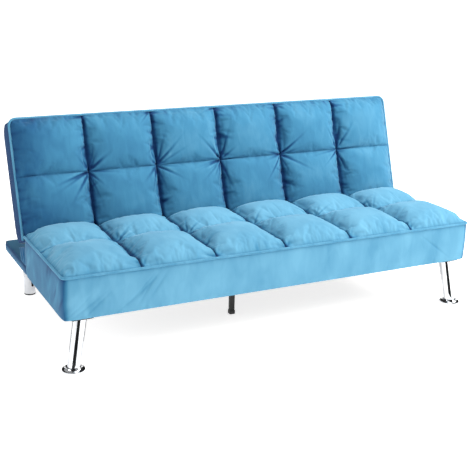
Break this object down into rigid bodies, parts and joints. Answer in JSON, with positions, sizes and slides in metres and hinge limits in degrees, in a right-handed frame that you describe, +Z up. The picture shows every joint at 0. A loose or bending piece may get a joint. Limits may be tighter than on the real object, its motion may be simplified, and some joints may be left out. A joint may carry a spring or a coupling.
{
  "type": "futon sofa bed",
  "caption": "Armless click-clack sofa bed: tufted velvet seat and reclining back on a low platform, with splayed chrome front legs on disc feet.",
  "frame": {"origin": "on the floor, at the centre of the footprint", "axes": "+X along the length, +Y from the seat's front edge to the rear, +Z up"},
  "size_m": [1.8, 0.9, 0.8059],
  "materials": {
    "velvet": "short-pile velvet",
    "welt_velvet": "velvet over cord",
    "pine": "planed softwood",
    "plywood": "sawn plywood",
    "hardboard": "smooth hardboard",
    "spring_wire": "oil-tempered wire",
    "foam": "open-cell foam",
    "felt": "needled felt",
    "nonwoven": "spun-bonded",
    "black_steel": "powder coated",
    "black_plastic": "moulded",
    "chrome": "polished plate",
    "zinc_steel": "bright zinc plate"
  },
  "bodies": {
    "seat": {"base_front_rail": "pine", "base_centre_rail": "pine", "base_rear_rail": "pine", "base_left_rail": "pine", "base_right_rail": "pine", "corner_blocks": "pine", "base_deck": "hardboard", "seat_left_board": "plywood", "seat_right_board": "plywood", "seat_front_board": "plywood", "seat_rear_board": "plywood", "seat_centre_board": "plywood", "seat_springs": "spring_wire", "seat_felt_pad": "felt", "seat_foam": "foam", "seat_cover": "velvet", "seat_piping": "welt_velvet", "base_cover": "velvet", "dust_cover": "nonwoven", "leg_plates": "black_steel", "leg_screws": "zinc_steel", "front_left_leg": "chrome", "front_left_foot": "chrome", "front_left_glide": "black_plastic", "front_right_leg": "chrome", "front_right_foot": "chrome", "front_right_glide": "black_plastic", "rear_left_leg": "chrome", "rear_left_glide": "black_plastic", "rear_right_leg": "chrome", "rear_right_glide": "black_plastic", "centre_leg": "black_steel", "centre_leg_cap": "black_plastic", "centre_leg_bracket": "black_steel", "centre_leg_bolt": "zinc_steel", "left_seat_arm": "zinc_steel", "right_seat_arm": "zinc_steel", "left_hinge_pin": "zinc_steel", "right_hinge_pin": "zinc_steel", "pawl_pins": "zinc_steel", "pawl_springs": "spring_wire", "seat_arm_bolts": "zinc_steel"},
    "back": {"back_left_rail": "pine", "back_right_rail": "pine", "back_top_rail": "pine", "back_bottom_rail": "pine", "back_centre_rail": "pine", "back_springs": "spring_wire", "back_rear_panel": "velvet", "back_foam": "foam", "back_cover": "velvet", "back_piping": "welt_velvet", "left_back_arm": "zinc_steel", "right_back_arm": "zinc_steel", "left_ratchet": "zinc_steel", "right_ratchet": "zinc_steel", "back_arm_bolts": "zinc_steel"},
    "left_pawl": {"left_pawl": "zinc_steel"},
    "right_pawl": {"right_pawl": "zinc_steel"}
  },
  "joints": [
    {"name": "back_recline", "type": "hinge", "parent": "seat", "child": "back", "pos_m": [0, 0.12564, 0.3449], "axis": [-1, 0, 0], "range_deg": [-10, 71.2]},
    {"name": "left_pawl_lift", "type": "hinge", "parent": "seat", "child": "left_pawl", "pos_m": [-0.854, 0.066, 0.331], "axis": [1, 0, 0], "range_deg": [0, 15], "stiffness_Nm_per_rad": 0.05, "springref_deg": -28.65},
    {"name": "right_pawl_lift", "type": "hinge", "parent": "seat", "child": "right_pawl", "pos_m": [0.854, 0.066, 0.331], "axis": [1, 0, 0], "range_deg": [0, 15], "stiffness_Nm_per_rad": 0.05, "springref_deg": -28.65}
  ]
}
